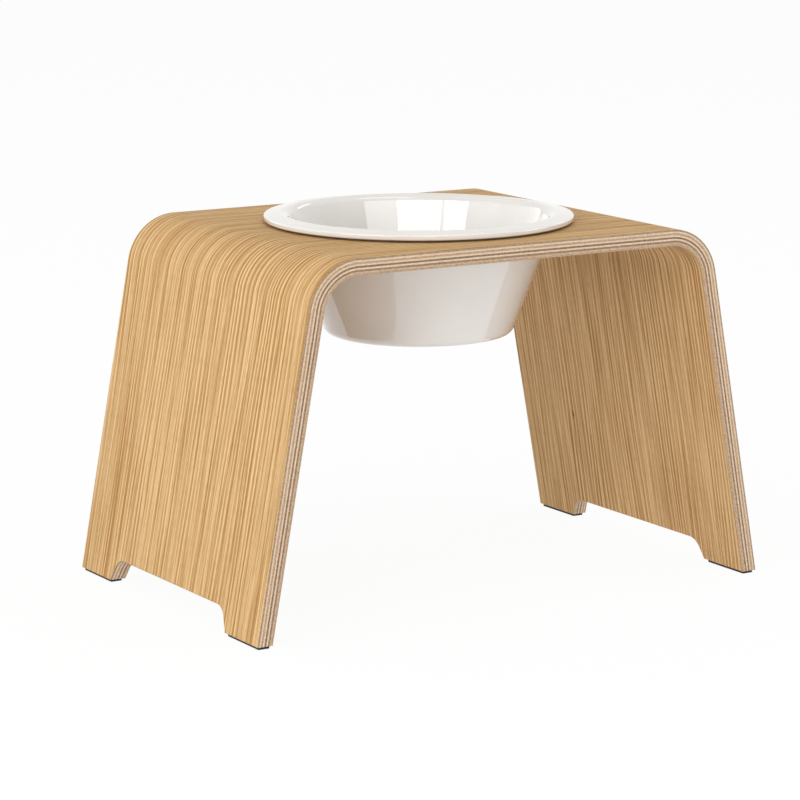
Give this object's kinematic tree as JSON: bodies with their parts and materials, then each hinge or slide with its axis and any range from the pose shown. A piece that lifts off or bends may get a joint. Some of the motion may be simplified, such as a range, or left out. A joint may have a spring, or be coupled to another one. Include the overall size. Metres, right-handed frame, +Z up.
{
  "type": "elevated dog feeder",
  "caption": "Bent plywood arch on rubber pads, with a round cut-out in its top that holds a rimmed porcelain bowl at a dog's feeding height.",
  "frame": {"origin": "on the floor under the middle of the bowl, at the centre of the four pads", "axes": "+Z up, X from the left leg to the right leg, Y along the arch's width with -Y at the front"},
  "size_m": [0.417, 0.265, 0.2661],
  "materials": {
    "oak_veneer": "clear matt lacquer",
    "pale_ply": "sanded edge",
    "tan_ply": "sanded edge",
    "dark_ply": "sanded edge",
    "porcelain": "clear glaze",
    "silicone": "matt",
    "pad_rubber": "matt"
  },
  "bodies": {
    "arch": {"outer_face_veneer": "oak_veneer", "core_ply_1": "pale_ply", "core_ply_2": "tan_ply", "core_ply_3": "pale_ply", "core_ply_4": "dark_ply", "core_ply_5": "pale_ply", "core_ply_6": "dark_ply", "core_ply_7": "tan_ply", "inner_face_veneer": "oak_veneer", "front_left_pad": "pad_rubber", "back_left_pad": "pad_rubber", "front_right_pad": "pad_rubber", "back_right_pad": "pad_rubber"},
    "ring": {"bowl_ring": "silicone"},
    "bowl": {"bowl": "porcelain"}
  },
  "joints": [
    {"name": "bowl_lift", "type": "slide", "parent": "arch", "child": "ring", "axis": [0, 0, 1], "range_m": [0, 0.11]},
    {"name": "bowl_turn", "type": "hinge", "parent": "ring", "child": "bowl", "pos_m": [0, 0, 0.2606], "axis": [0, 0, 1], "continuous": true}
  ]
}
